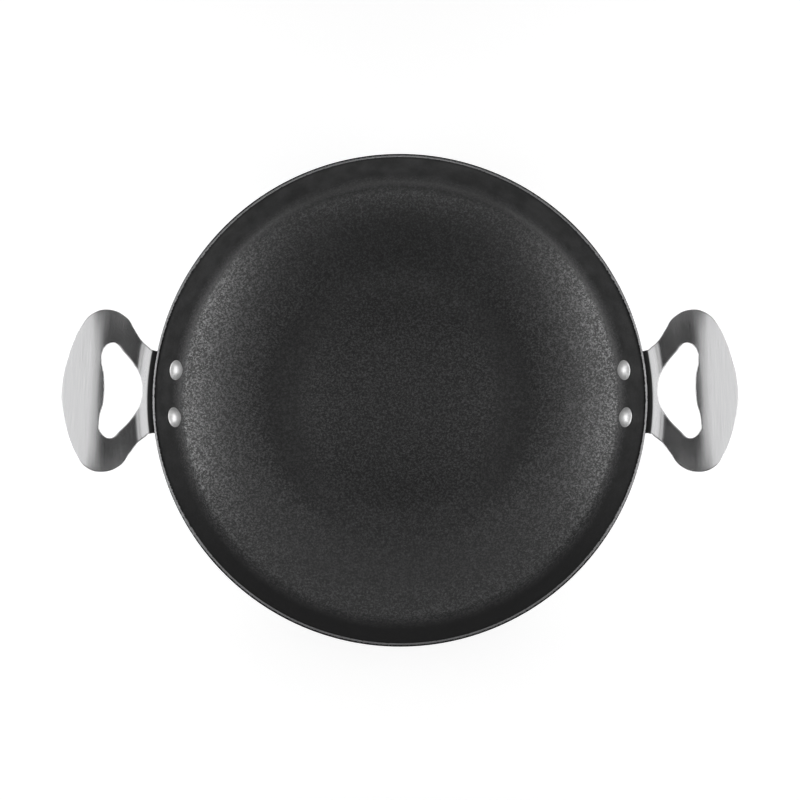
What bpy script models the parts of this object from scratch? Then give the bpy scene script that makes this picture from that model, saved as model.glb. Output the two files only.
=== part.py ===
"""Wide stovetop pan with a steep rim band and two riveted sheet handles, in metres, +Z up.

The pan is turned about Z and rests on z = 0. The handles lie along X.
Lengths are written in millimetres and multiplied by MM.
"""

import math

import bmesh
import bpy
from mathutils import Matrix, Vector

MM = 0.001
GAP = 0.3 * MM

# Pan: a flat floor, a dished slope, a knuckle, then a steep band up to the rim.
# FLOOR_ARC_TURN is how far the floor's own arc turns up before the slope's arc takes over.
RIM_RADIUS = 150 * MM
PAN_HEIGHT = 62 * MM
FLOOR_RADIUS = 70 * MM
FLOOR_THICKNESS = 3.5 * MM
WALL_THICKNESS = 1.9 * MM
FLOOR_ARC_RADIUS = 75 * MM
FLOOR_ARC_TURN = math.radians(24)
KNUCKLE_HEIGHT = 38 * MM
KNUCKLE_ROUND = 4 * MM
BAND_LEAN = math.radians(16.4)
EDGE_ROUND = 0.6 * MM
TURN_STEPS = 96

# Rivets: two for each handle, square to the steep band, their heads clear of the knuckle.
RIVET_ABOVE_KNUCKLE = 7 * MM
RIVET_HEIGHT = KNUCKLE_HEIGHT + RIVET_ABOVE_KNUCKLE
RIVET_HALF_PITCH = 15 * MM
SHANK_RADIUS = 2.0 * MM
INNER_HEAD_RADIUS = 6.3 * MM
INNER_HEAD_HEIGHT = 3.5 * MM
OUTER_HEAD_RADIUS = 4.6 * MM
OUTER_HEAD_HEIGHT = 1.8 * MM
HEAD_LAND = 0.6 * MM
RIVET_STEPS = 24

# Handle sheet: its thickness, and the bends met on the way out from the band. Each bend is
# the heading that it turns to, its radius, and the length of the straight stretch after it.
# The sheet follows the round rim up to CURVED_FROM out from it, and is straight from STRAIGHT_FROM.
SHEET = 2.0 * MM
SHEET_EDGE_ROUND = 0.6 * MM
PLATE_BELOW_RIVET = 7 * MM
PLATE_ABOVE_RIVET = 6.6 * MM
LEAD_OUT = (math.radians(45), 4 * MM, 6 * MM)
CREASE = (0.0, 3 * MM, 3.5 * MM)
RISE = (math.radians(35), 6 * MM, 18.9 * MM)
GRIP = (math.radians(8), 14 * MM, 40 * MM)
BEND_FACET = math.radians(11.5)
FLAT_FACET = 10 * MM
WIDTH_FACET = 8.5 * MM
CURVED_FROM = 6 * MM
STRAIGHT_FROM = 30 * MM

# Half outline of the mount plate in the flat sheet: distance up from its lower edge, half width.
PLATE_HALF_OUTLINE = [(0, 0), (0, 9), (0.6, 17), (3.2, 22.8), (8.5, 25.4), (15, 25.6)]
# Half outlines seen from above: distance out from the rim, half width.
ARM_HALF_OUTLINE = [
    (2.6, 25.8), (5.0, 27.7), (8.6, 30.8), (12.6, 37.4), (17.6, 45.3),
    (25.4, 48.8), (34.1, 45.5), (39.9, 37.3), (43.5, 29.3), (46.9, 17), (48.5, 8), (48.9, 0),
]
WINDOW_HALF_OUTLINE = [
    (7.9, 0), (8.5, 5.8), (11.1, 12.7), (18.4, 24.2), (22.9, 28.6),
    (27.3, 25.2), (28.3, 17.5), (26.8, 8.2), (26.4, 0),
]
OUTLINE_RESOLUTION = 4


def new_material(name, colour, metallic, roughness):
    """A plain material for one kind of surface."""
    material = bpy.data.materials.new(name)
    material.use_nodes = True
    shader = material.node_tree.nodes["Principled BSDF"]
    shader.inputs["Base Color"].default_value = (*colour, 1)
    shader.inputs["Metallic"].default_value = metallic
    shader.inputs["Roughness"].default_value = roughness
    material.diffuse_color = (*colour, 1)
    return material


def new_collection(name):
    """A collection under the scene's own one."""
    collection = bpy.data.collections.new(name)
    bpy.context.scene.collection.children.link(collection)
    return collection


def new_object(name, mesh, collection, material=None):
    """An object of this mesh, put in the collection."""
    obj = bpy.data.objects.new(name, mesh)
    collection.objects.link(obj)
    if material:
        mesh.materials.clear()
        mesh.materials.append(material)
    return obj


def arc(start, heading, turn_to, radius, facet=BEND_FACET):
    """Points of a round stretch that starts at heading and ends at turn_to, and their headings."""
    count = max(2, math.ceil(abs(turn_to - heading) / facet))
    side = math.copysign(radius, turn_to - heading)
    points = []
    for step in range(1, count + 1):
        now = heading + (turn_to - heading) * step / count
        across = side * (math.sin(now) - math.sin(heading))
        up = side * (math.cos(heading) - math.cos(now))
        points.append((start[0] + across, start[1] + up, now))
    return points


def inner_profile():
    """Cooking surface from the middle to the rim, as (radius, height, heading)."""
    band = math.pi / 2 - BAND_LEAN
    top = (RIM_RADIUS - WALL_THICKNESS / math.cos(BAND_LEAN), PAN_HEIGHT - EDGE_ROUND)
    knuckle = (top[0] - (top[1] - KNUCKLE_HEIGHT) * math.tan(BAND_LEAN), KNUCKLE_HEIGHT)
    line = [(0, FLOOR_THICKNESS, 0), (FLOOR_RADIUS, FLOOR_THICKNESS, 0)]
    line += arc(line[-1], 0, FLOOR_ARC_TURN, FLOOR_ARC_RADIUS, math.radians(5))
    # The slope is one arc that leaves the floor's arc smoothly and aims at the knuckle.
    run, rise = knuckle[0] - line[-1][0], knuckle[1] - line[-1][1]
    slope_end = 2 * math.atan2(rise, run) - FLOOR_ARC_TURN
    slope_radius = math.hypot(run, rise) / (2 * math.sin((slope_end - FLOOR_ARC_TURN) / 2))
    line += arc(line[-1], FLOOR_ARC_TURN, slope_end, slope_radius, math.radians(3.5))
    # The knuckle's round stretch replaces the slope's last point.
    line.pop()
    back = KNUCKLE_ROUND * math.tan((band - slope_end) / 2)
    start = (knuckle[0] - back * math.cos(slope_end), knuckle[1] - back * math.sin(slope_end))
    line.append((*start, slope_end))
    line += arc(start, slope_end, band, KNUCKLE_ROUND)
    line.append((*top, band))
    return line


def pan_profile():
    """Closed half section: inside from the middle out, over the rim, then down the outside."""
    inside = inner_profile()
    slope_end = max(h for r, z, h in inside if z < KNUCKLE_HEIGHT - KNUCKLE_ROUND)
    outside = []
    for radius, height, heading in inside:
        share = min(1, heading / slope_end)
        depth = FLOOR_THICKNESS + (WALL_THICKNESS - FLOOR_THICKNESS) * share
        outside.append((radius + depth * math.sin(heading), height - depth * math.cos(heading)))
    wall_top = inside[-1]
    outside[-1] = (RIM_RADIUS, wall_top[1])
    edge = []
    for step in range(1, 4):
        lift = math.radians(30 * step)
        in_by = EDGE_ROUND * (1 - math.cos(lift))
        edge.append((wall_top[0] + in_by, wall_top[1] + EDGE_ROUND * math.sin(lift)))
    outer_edge = [(RIM_RADIUS - (r - wall_top[0]), z) for r, z in reversed(edge)]
    return [(r, z) for r, z, _ in inside] + edge + outer_edge + outside[::-1]


def turned(name, profile, steps, collection, material=None):
    """A solid turned about Z from an open profile whose ends lie on the axis."""
    mesh = bpy.data.meshes.new(name)
    edges = [(k, k + 1) for k in range(len(profile) - 1)]
    mesh.from_pydata([(r, 0, z) for r, z in profile], edges, [])
    obj = new_object(name, mesh, collection, material)
    screw = obj.modifiers.new("Turn", "SCREW")
    screw.steps = steps
    screw.render_steps = steps
    screw.use_merge_vertices = True
    screw.merge_threshold = 0.01 * MM
    screw.use_smooth_shade = True
    return obj


def band_point(height):
    """Point of the band's inner face at this height, in the plane of a handle."""
    inner_top = RIM_RADIUS - WALL_THICKNESS / math.cos(BAND_LEAN)
    return Vector((inner_top - (PAN_HEIGHT - EDGE_ROUND - height) * math.tan(BAND_LEAN), height))


UP_BAND = Vector((math.sin(BAND_LEAN), math.cos(BAND_LEAN)))
OUT_OF_BAND = Vector((math.cos(BAND_LEAN), -math.sin(BAND_LEAN)))
SEAT = band_point(RIVET_HEIGHT)
RIVET_ANGLE = math.asin(RIVET_HALF_PITCH / SEAT[0])


def rivet_frame(side, sign):
    """Matrix at a rivet's seat: Z points into the pan, square to the band."""
    inward = Matrix.Rotation(BAND_LEAN - math.pi / 2, 4, "Y")
    place = Matrix.Translation((SEAT[0], 0, SEAT[1]))
    return Matrix.Rotation(side + sign * RIVET_ANGLE, 4, "Z") @ place @ inward


def rivet_profile():
    """Half section of a rivet with a domed head inside, a shank, and a flatter head outside."""
    seat = GAP
    far = -(WALL_THICKNESS + GAP + SHEET + GAP)
    points = [(0, seat + INNER_HEAD_HEIGHT)]
    for step in range(1, 7):
        k = math.radians(15 * step)
        rise = (INNER_HEAD_HEIGHT - HEAD_LAND) * math.cos(k)
        points.append((INNER_HEAD_RADIUS * math.sin(k), seat + HEAD_LAND + rise))
    points += [(INNER_HEAD_RADIUS - 0.3 * MM, seat), (SHANK_RADIUS, seat), (SHANK_RADIUS, far)]
    points += [(OUTER_HEAD_RADIUS - 0.3 * MM, far)]
    for step in range(4, -1, -1):
        k = math.radians(22.5 * step)
        drop = (OUTER_HEAD_HEIGHT - HEAD_LAND) * math.cos(k)
        points.append((OUTER_HEAD_RADIUS * math.sin(k), far - HEAD_LAND - drop))
    return points


def sheet_path():
    """Middle of the sheet in the plane of a handle, from the plate's lower edge outward.

    Each entry is (distance along the sheet, radius, height, heading).
    """
    off = WALL_THICKNESS + GAP + SHEET / 2
    start = SEAT + OUT_OF_BAND * off - UP_BAND * PLATE_BELOW_RIVET
    heading = math.pi / 2 - BAND_LEAN
    path = [(0, start[0], start[1], heading)]

    def straight(length):
        count = max(1, math.ceil(length / FLAT_FACET))
        for _ in range(count):
            along, radius, height, now = path[-1]
            step = length / count
            path.append((along + step, radius + step * math.cos(now), height + step * math.sin(now), now))

    straight(PLATE_BELOW_RIVET + PLATE_ABOVE_RIVET)
    for turn_to, round_radius, length in (LEAD_OUT, CREASE, RISE, GRIP):
        along, radius, height, now = path[-1]
        bend = arc((radius, height), now, turn_to, round_radius)
        for step, (r, z, h) in enumerate(bend, 1):
            path.append((along + abs(turn_to - now) * round_radius * step / len(bend), r, z, h))
        straight(length)
    return path


PATH = sheet_path()


def between(path, key, value):
    """Entry of the path where its column key reaches value, read off between two entries."""
    for low, high in zip(path, path[1:]):
        if value <= high[key] or high is path[-1]:
            share = (value - low[key]) / (high[key] - low[key])
            return tuple(a + (b - a) * share for a, b in zip(low, high))


def roundness(radius):
    """How far the sheet follows the pan's round rim here: 1 at the rim, 0 out on the grip."""
    share = (radius - RIM_RADIUS - CURVED_FROM) / (STRAIGHT_FROM - CURVED_FROM)
    share = min(1, max(0, share))
    return 1 - share * share * (3 - 2 * share)


def flat_point(out, half_width):
    """Where a point seen from above lies in the flat sheet: (distance along, half width)."""
    out = RIM_RADIUS + out * MM
    width = half_width * MM
    radius = out
    for _ in range(40):
        radius = out + roundness(radius) * (radius - math.sqrt(radius**2 - width**2))
    return between(PATH, 1, radius)[0], width


def bent(point):
    """The flat sheet's point (along, width, height above its middle) carried onto the bent sheet."""
    along, width, lift = point
    _, radius, height, heading = between(PATH, 0, along)
    radius -= lift * math.sin(heading)
    height += lift * math.cos(heading)
    follow = roundness(radius)
    return Vector((radius + follow * (math.sqrt(radius**2 - width**2) - radius), width, height))


def add_outline(curve, half):
    """A closed, smooth outline from its upper half, mirrored across the middle line."""
    points = half + [(a, -w) for a, w in reversed(half) if w > 1e-9]
    spline = curve.splines.new("BEZIER")
    spline.use_cyclic_u = True
    spline.bezier_points.add(len(points) - 1)
    for target, (along, width) in zip(spline.bezier_points, points):
        target.co = (along, width, 0)
        target.handle_left_type = "AUTO"
        target.handle_right_type = "AUTO"


def add_circle(curve, centre, radius):
    """A round outline of four Bezier points."""
    spline = curve.splines.new("BEZIER")
    spline.use_cyclic_u = True
    spline.bezier_points.add(3)
    for k, target in enumerate(spline.bezier_points):
        way = Vector((math.cos(k * math.pi / 2), math.sin(k * math.pi / 2), 0))
        turn = Vector((-way[1], way[0], 0)) * radius * 0.5523
        target.co = Vector((*centre, 0)) + way * radius
        target.handle_left_type = "FREE"
        target.handle_right_type = "FREE"
        target.handle_left = target.co - turn
        target.handle_right = target.co + turn


def handle_mesh():
    """Sheet cut to its outline with a finger window and two rivet holes, edges rounded, then bent."""
    curve = bpy.data.curves.new("handle_flat", "CURVE")
    curve.dimensions = "2D"
    curve.fill_mode = "BOTH"
    curve.resolution_u = OUTLINE_RESOLUTION
    curve.extrude = SHEET / 2 - SHEET_EDGE_ROUND
    curve.bevel_depth = SHEET_EDGE_ROUND
    curve.bevel_resolution = 1
    curve.offset = -SHEET_EDGE_ROUND
    plate = [(a * MM, w * MM) for a, w in PLATE_HALF_OUTLINE]
    add_outline(curve, plate + [flat_point(*p) for p in ARM_HALF_OUTLINE])
    add_outline(curve, [flat_point(*p) for p in WINDOW_HALF_OUTLINE])
    hole_at = (SEAT + OUT_OF_BAND * (WALL_THICKNESS + GAP + SHEET / 2))[0] * math.sin(RIVET_ANGLE)
    for sign in (1, -1):
        add_circle(curve, (PLATE_BELOW_RIVET, sign * hole_at), SHANK_RADIUS + GAP)
    flat = bpy.data.objects.new("handle_flat", curve)
    bpy.context.scene.collection.objects.link(flat)
    bpy.context.view_layer.update()
    mesh = bpy.data.meshes.new_from_object(flat)
    bpy.data.objects.remove(flat)

    bm = bmesh.new()
    bm.from_mesh(mesh)
    bmesh.ops.remove_doubles(bm, verts=bm.verts, dist=0.002 * MM)
    bmesh.ops.dissolve_limit(bm, angle_limit=math.radians(1), verts=bm.verts, edges=bm.edges)
    cuts = [(entry[0], Vector((1, 0, 0))) for entry in PATH[1:-1]]
    across = int(PLATE_HALF_OUTLINE[-2][1] * MM / WIDTH_FACET)
    cuts += [(WIDTH_FACET * k, Vector((0, 1, 0))) for k in range(-across, across + 1)]
    for where, way in cuts:
        everything = bm.verts[:] + bm.edges[:] + bm.faces[:]
        bmesh.ops.bisect_plane(bm, geom=everything, dist=0.02 * MM, plane_co=way * where, plane_no=way)
    for vert in bm.verts:
        vert.co = bent(vert.co)
    bmesh.ops.recalc_face_normals(bm, faces=bm.faces)
    bm.to_mesh(mesh)
    bm.free()
    return mesh


def main():
    for obj in list(bpy.data.objects):
        bpy.data.objects.remove(obj)
    parts = new_collection("saj_pan")
    cutters = new_collection("cutters")

    coating = new_material("dark_coating", (0.032, 0.032, 0.033), 0.0, 0.5)
    handle_steel = new_material("brushed_steel", (0.62, 0.62, 0.63), 1.0, 0.32)
    rivet_metal = new_material("bright_rivet", (0.78, 0.78, 0.78), 1.0, 0.25)

    # Pan body, turned, with a hole in the band for each rivet.
    pan = turned("pan_body", pan_profile(), TURN_STEPS, parts, coating)

    # Rivets and their holes, two at each end of the pan.
    sides = {"right": 0.0, "left": math.pi}
    rows = {"front": -1, "back": 1}
    shared = None
    for side, turn in sides.items():
        for row, sign in rows.items():
            frame = rivet_frame(turn, sign if side == "right" else -sign)
            name = f"rivet_{side}_{row}"
            if shared is None:
                rivet = turned(name, rivet_profile(), RIVET_STEPS, parts, rivet_metal)
                shared = rivet
            else:
                rivet = shared.copy()
                rivet.name = name
                parts.objects.link(rivet)
            rivet.matrix_world = frame
            length = 4 * (WALL_THICKNESS + GAP)
            hole = SHANK_RADIUS + GAP
            bpy.ops.mesh.primitive_cylinder_add(vertices=RIVET_STEPS, radius=hole, depth=length)
            cutter = bpy.context.object
            cutter.name = f"hole_{side}_{row}"
            for holder in list(cutter.users_collection):
                holder.objects.unlink(cutter)
            cutters.objects.link(cutter)
            cutter.matrix_world = frame
            cutter.hide_render = True
            cutter.display_type = "WIRE"
            cut = pan.modifiers.new(f"Hole {side} {row}", "BOOLEAN")
            cut.operation = "DIFFERENCE"
            cut.solver = "EXACT"
            cut.object = cutter

    # Handles: the same bent sheet at each end.
    mesh = handle_mesh()
    mesh.name = "handle"
    for side, turn in sides.items():
        handle = new_object(f"handle_{side}", mesh, parts, handle_steel)
        handle.matrix_world = Matrix.Rotation(turn, 4, "Z")
    for polygon in mesh.polygons:
        polygon.use_smooth = True
    mesh.set_sharp_from_angle(angle=math.radians(50))


main()
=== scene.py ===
# %% [markdown]
# # A two-handled saj pan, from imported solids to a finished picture
#
# The pan is a wide dish of coated aluminium with a steep band below its rim. A bent loop of
# brushed steel is riveted to each side. This notebook loads the measured solids as a fixed
# frame, models a finer piece over each one, gives every surface its finish, and lights it.

# %% Load the frame
import math

import bpy
from mathutils import Matrix, Vector


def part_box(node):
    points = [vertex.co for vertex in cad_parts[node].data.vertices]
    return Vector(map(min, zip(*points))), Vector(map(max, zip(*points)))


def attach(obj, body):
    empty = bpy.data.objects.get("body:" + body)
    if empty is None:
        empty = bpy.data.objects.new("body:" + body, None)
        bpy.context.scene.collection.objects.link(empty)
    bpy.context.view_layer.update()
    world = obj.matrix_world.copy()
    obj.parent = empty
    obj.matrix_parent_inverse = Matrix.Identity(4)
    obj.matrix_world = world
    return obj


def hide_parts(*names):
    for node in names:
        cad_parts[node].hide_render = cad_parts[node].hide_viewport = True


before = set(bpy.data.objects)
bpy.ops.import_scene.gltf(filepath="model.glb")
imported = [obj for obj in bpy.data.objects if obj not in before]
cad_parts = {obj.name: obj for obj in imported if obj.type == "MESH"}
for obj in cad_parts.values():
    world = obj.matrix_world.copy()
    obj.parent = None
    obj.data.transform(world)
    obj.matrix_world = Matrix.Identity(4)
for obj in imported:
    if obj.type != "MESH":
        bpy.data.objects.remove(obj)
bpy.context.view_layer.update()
for obj in list(bpy.context.selected_objects):
    obj.select_set(False)
print("nodes:", ", ".join(sorted(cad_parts)))

# %% [markdown]
# ## Sizes
#
# A pan is drawn from a few sizes: how wide the rim is, how high it stands, how far the flat
# floor reaches, and how the wall leans. The rim's radius and height are read from the frame,
# and the rest are the sizes that the solids were made from, so each new piece lies on its
# solid. Only the knuckle is rounder here, 13 mm against 4, because the real one turns softly.
# Writing a size once, with a name, lets you change it later without hunting.

# %% Sizes of the pan
MM = 0.001
RIM_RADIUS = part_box("pan_body")[1].x
PAN_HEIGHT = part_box("pan_body")[1].z
FLOOR_RADIUS = 70 * MM
FLOOR_THICKNESS = 3.5 * MM
WALL_THICKNESS = 1.9 * MM
FLOOR_ARC_RADIUS = 75 * MM
FLOOR_ARC_TURN = math.radians(24)
KNUCKLE_HEIGHT = 38 * MM
KNUCKLE_ROUND = 13 * MM
BAND_LEAN = math.radians(16.4)
EDGE_ROUND = 0.6 * MM
print(f"rim {2000 * RIM_RADIUS:.0f} mm across, {1000 * PAN_HEIGHT:.0f} mm high")

# %% [markdown]
# ## Working by operator
#
# Blender's edit-mode operators act on whatever is selected, so each piece starts from an empty
# selection and ends back in object mode. Two short helpers keep that habit in one place.

# %% Helpers for edit mode
def begin(obj):
    """Makes obj the one active, selected object and opens its mesh with all of it selected."""
    bpy.ops.object.select_all(action="DESELECT")
    obj.select_set(True)
    bpy.context.view_layer.objects.active = obj
    bpy.ops.object.mode_set(mode="EDIT")
    bpy.ops.mesh.select_all(action="SELECT")


def end(obj, smooth=True):
    """Closes the mesh, with smooth shading, and says how big it came out."""
    bpy.ops.object.mode_set(mode="OBJECT")
    if smooth:
        bpy.ops.object.shade_smooth()
    size = [round(1000 * d, 1) for d in obj.dimensions]
    print(f"{obj.name}: {len(obj.data.polygons)} faces, {size} mm")


# %% [markdown]
# ## Drawing round stretches
#
# Pressed metal is straight stretches joined by round ones. `arc` walks along a round stretch
# from one heading to another and returns the points on the way, so that a side view can be
# written as a short list of headings and radii instead of as many coordinates.

# %% Arc helper
def arc(start, heading, turn_to, radius, facet):
    """Points (across, up, heading) of a round stretch that turns from heading to turn_to."""
    count = max(2, math.ceil(abs(turn_to - heading) / facet))
    side = math.copysign(radius, turn_to - heading)
    points = []
    for step in range(1, count + 1):
        now = heading + (turn_to - heading) * step / count
        across = side * (math.sin(now) - math.sin(heading))
        up = side * (math.cos(heading) - math.cos(now))
        points.append((start[0] + across, start[1] + up, now))
    return points


# %% [markdown]
# ## The bowl's half section
#
# The real bowl is pressed from one aluminium disc: a flat floor, a dished slope, a rounded
# knuckle, and a steep band up to the rim. It could be modelled from a sphere, but a pressed
# bowl isn't round, so its half section is drawn instead: inside from the middle out, over the
# rounded rim, and down the outside, with the wall thinning from floor to band.

# %% Half section
FINE = math.radians(2)
RINGS = 8
EDGE_STEPS = 5


def inner_line():
    """Cooking surface from the middle to the rim, as (radius, height, heading)."""
    band = math.pi / 2 - BAND_LEAN
    top = (RIM_RADIUS - WALL_THICKNESS / math.cos(BAND_LEAN), PAN_HEIGHT - EDGE_ROUND)
    knuckle = (top[0] - (top[1] - KNUCKLE_HEIGHT) * math.tan(BAND_LEAN), KNUCKLE_HEIGHT)
    line = [(FLOOR_RADIUS * k / RINGS, FLOOR_THICKNESS, 0) for k in range(RINGS + 1)]
    line += arc(line[-1], 0, FLOOR_ARC_TURN, FLOOR_ARC_RADIUS, FINE)
    run, rise = knuckle[0] - line[-1][0], knuckle[1] - line[-1][1]
    slope_end = 2 * math.atan2(rise, run) - FLOOR_ARC_TURN
    slope_radius = math.hypot(run, rise) / (2 * math.sin((slope_end - FLOOR_ARC_TURN) / 2))
    line += arc(line[-1], FLOOR_ARC_TURN, slope_end, slope_radius, FINE / 2)
    back = KNUCKLE_ROUND * math.tan((band - slope_end) / 2)
    start = (knuckle[0] - back * math.cos(slope_end), knuckle[1] - back * math.sin(slope_end))
    while line[-1][0] > start[0]:
        line.pop()
    line.append((*start, slope_end))
    line += arc(start, slope_end, band, KNUCKLE_ROUND, 2 * FINE)
    turn = line[-1]
    for k in range(1, RINGS + 1):
        across, up = (top[0] - turn[0]) * k / RINGS, (top[1] - turn[1]) * k / RINGS
        line.append((turn[0] + across, turn[1] + up, band))
    return line, slope_end


def half_section():
    """Closed half section, as (radius, height) from the floor's middle round to below it."""
    inside, slope_end = inner_line()
    outside = []
    for radius, height, heading in inside:
        depth = FLOOR_THICKNESS + (WALL_THICKNESS - FLOOR_THICKNESS) * min(1, heading / slope_end)
        outside.append((radius + depth * math.sin(heading), height - depth * math.cos(heading)))
    rim = inside[-1]
    outside[-1] = (RIM_RADIUS, rim[1])
    inner_edge = []
    for step in range(1, EDGE_STEPS + 1):
        lift = math.radians(90 / EDGE_STEPS * step)
        in_by = EDGE_ROUND * (1 - math.cos(lift))
        inner_edge.append((rim[0] + in_by, rim[1] + EDGE_ROUND * math.sin(lift)))
    outer_edge = [(RIM_RADIUS - (r - rim[0]), z) for r, z in reversed(inner_edge)]
    return [(r, z) for r, z, _ in inside] + inner_edge + outer_edge + outside[::-1]


section = half_section()
print(len(section), "points in the half section")

# %% [markdown]
# ## Spinning the bowl
#
# A turned shape is one line spun about an axis. By hand you would add a plane, merge it to a
# single point, extrude that point along the half section, and use Spin. The two ends of the
# line lie on the axis, so merging doubles closes the middle of the floor and of the underside.

# %% Spin the bowl
WELD = 0.002 * MM
BOWL_STEPS = 224


def spun(name, line, steps):
    """A closed piece: one point extruded along line and spun about Z."""
    bpy.ops.object.select_all(action="DESELECT")
    bpy.ops.mesh.primitive_plane_add(size=MM)
    piece = bpy.context.object
    piece.name = name
    piece.data.name = name
    begin(piece)
    bpy.ops.mesh.merge(type="CENTER")
    bpy.ops.transform.translate(value=(line[0][0], 0, line[0][1]))
    for here, there in zip(line, line[1:]):
        step = (there[0] - here[0], 0, there[1] - here[1])
        bpy.ops.mesh.extrude_vertices_move(TRANSFORM_OT_translate={"value": step})
    bpy.ops.mesh.select_all(action="SELECT")
    bpy.ops.mesh.spin(steps=steps, angle=math.tau, center=(0, 0, 0), axis=(0, 0, 1))
    bpy.ops.mesh.select_all(action="SELECT")
    bpy.ops.mesh.remove_doubles(threshold=WELD)
    bpy.ops.mesh.normals_make_consistent(inside=False)
    end(piece)
    return piece


bowl = spun("bowl", section, BOWL_STEPS)
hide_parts("pan_body")
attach(bowl, "root")

# %% [markdown]
# ## Where the rivets sit
#
# Two rivets hold each handle. They stand square to the steep band, so their place is worked
# out from the band: a point on its inner face at rivet height, and a matrix whose Z axis
# points into the pan there. Everything on the band is then placed from this one seat.

# %% Rivet seats
GAP = 0.3 * MM
RIVET_ABOVE_KNUCKLE = 7 * MM
RIVET_HEIGHT = KNUCKLE_HEIGHT + RIVET_ABOVE_KNUCKLE
RIVET_HALF_PITCH = 15 * MM
SHANK_RADIUS = 2.0 * MM
UP_BAND = Vector((math.sin(BAND_LEAN), math.cos(BAND_LEAN)))
OUT_OF_BAND = Vector((math.cos(BAND_LEAN), -math.sin(BAND_LEAN)))
rim_inside = RIM_RADIUS - WALL_THICKNESS / math.cos(BAND_LEAN)
below_rim = PAN_HEIGHT - EDGE_ROUND - RIVET_HEIGHT
SEAT = Vector((rim_inside - below_rim * math.tan(BAND_LEAN), RIVET_HEIGHT))
RIVET_ANGLE = math.asin(RIVET_HALF_PITCH / SEAT[0])


def rivet_seat(turn, sign):
    """Matrix at a rivet's seat, for the handle at this turn about Z, on one side of its middle."""
    inward = Matrix.Rotation(BAND_LEAN - math.pi / 2, 4, "Y")
    place = Matrix.Translation((SEAT[0], 0, SEAT[1]))
    return Matrix.Rotation(turn + sign * RIVET_ANGLE, 4, "Z") @ place @ inward


print(f"rivets {1000 * SEAT[0]:.1f} mm out, {math.degrees(2 * RIVET_ANGLE):.1f} degrees apart")

# %% [markdown]
# ## A rivet
#
# The head that shows inside the bowl is a low dome with a thin straight edge. The shank runs
# through the band and the handle, and a flatter head closes it outside. It is the same kind
# of shape as the bowl, so it is spun the same way, once. Its faces are marked for three
# finishes, and then it is copied to its four seats. Each copy gets its own mesh, with its
# place applied to the points and not to the object.

# %% Model the rivet and copy it
SHEET = 2.0 * MM
INNER_HEAD = (6.3 * MM, 3.5 * MM)
OUTER_HEAD = (4.6 * MM, 1.8 * MM)
HEAD_LAND = 0.6 * MM
HEAD_UNDERCUT = 0.3 * MM
HEAD_FOOT = 0.45 * MM
DOME_STEPS = 15
RIVET_STEPS = 48
HEAD_SHARP = math.radians(40)
BRIGHT_HEAD, DARK_EDGE, DRIVEN_HEAD = range(3)


def rivet_line():
    """Half section of the rivet, from the top of its inner dome to the top of its outer one."""
    far = -(WALL_THICKNESS + GAP + SHEET + GAP)
    radius, height = INNER_HEAD
    line = [(0, GAP + height)]
    rise, foot = height - HEAD_LAND, radius - HEAD_FOOT
    dome_radius = (foot**2 + rise**2) / (2 * rise)
    for step in range(1, DOME_STEPS + 1):
        k = math.asin(foot / dome_radius) * step / DOME_STEPS
        line.append((dome_radius * math.sin(k), GAP + height - dome_radius * (1 - math.cos(k))))
    line += [(radius, GAP + part * HEAD_LAND) for part in (0.6, 0.3)]
    line += [(radius - HEAD_UNDERCUT, GAP), (SHANK_RADIUS, GAP), (SHANK_RADIUS, far)]
    radius, height = OUTER_HEAD
    line += [(radius - HEAD_UNDERCUT, far), (radius, far - 0.5 * HEAD_LAND)]
    for step in range(DOME_STEPS, 0, -1):
        k = math.radians(90 / DOME_STEPS * step)
        line.append((radius * math.sin(k), far - HEAD_LAND - (height - HEAD_LAND) * math.cos(k)))
    line.append((0, far - height))
    return line


pattern_rivet = spun("pattern_rivet", rivet_line(), RIVET_STEPS)
bpy.ops.object.shade_smooth_by_angle(angle=HEAD_SHARP)
# The land round each inner head takes the dark edge finish: a painted line of shade round the head.
for polygon in pattern_rivet.data.polygons:
    beside_dome = polygon.center.xy.length > INNER_HEAD[0] - HEAD_FOOT
    polygon.material_index = BRIGHT_HEAD
    if polygon.center.z < 0:
        polygon.material_index = DRIVEN_HEAD
    elif polygon.center.z > GAP and beside_dome:
        polygon.material_index = DARK_EDGE
TURNS = {"right": 0.0, "left": math.pi}
rivets = []
for side, turn in TURNS.items():
    for row, sign in {"front": -1, "back": 1}.items():
        rivet = pattern_rivet.copy()
        rivet.data = pattern_rivet.data.copy()
        rivet.name = f"stud_{side}_{row}"
        bpy.context.collection.objects.link(rivet)
        rivet.data.transform(rivet_seat(turn, sign if side == "right" else -sign))
        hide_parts(f"rivet_{side}_{row}")
        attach(rivet, "root")
        rivets.append(rivet)
bpy.data.objects.remove(pattern_rivet)
print("rivets:", ", ".join(r.name for r in rivets))

# %% [markdown]
# ## The handle's side view
#
# Each handle is stamped flat from 2 mm sheet and then bent. Seen from the side it lies against
# the band, leans out past the rim, runs level for a moment, climbs at 33 degrees, and eases
# into the nearly level grip. That side view is a list of bends: the heading each one turns to,
# its radius, and the length of straight sheet after it.

# %% Side view of the sheet
PLATE_BELOW_RIVET = 7 * MM
PLATE_ABOVE_RIVET = 6.6 * MM
BENDS = [
    (math.radians(45), 4 * MM, 6 * MM),
    (0.0, 3 * MM, 1.5 * MM),
    (math.radians(32.9), 11 * MM, 14.89 * MM),
    (math.radians(8), 34 * MM, 35.39 * MM),
]
FLAT_STEP = 2.5 * MM


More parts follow.
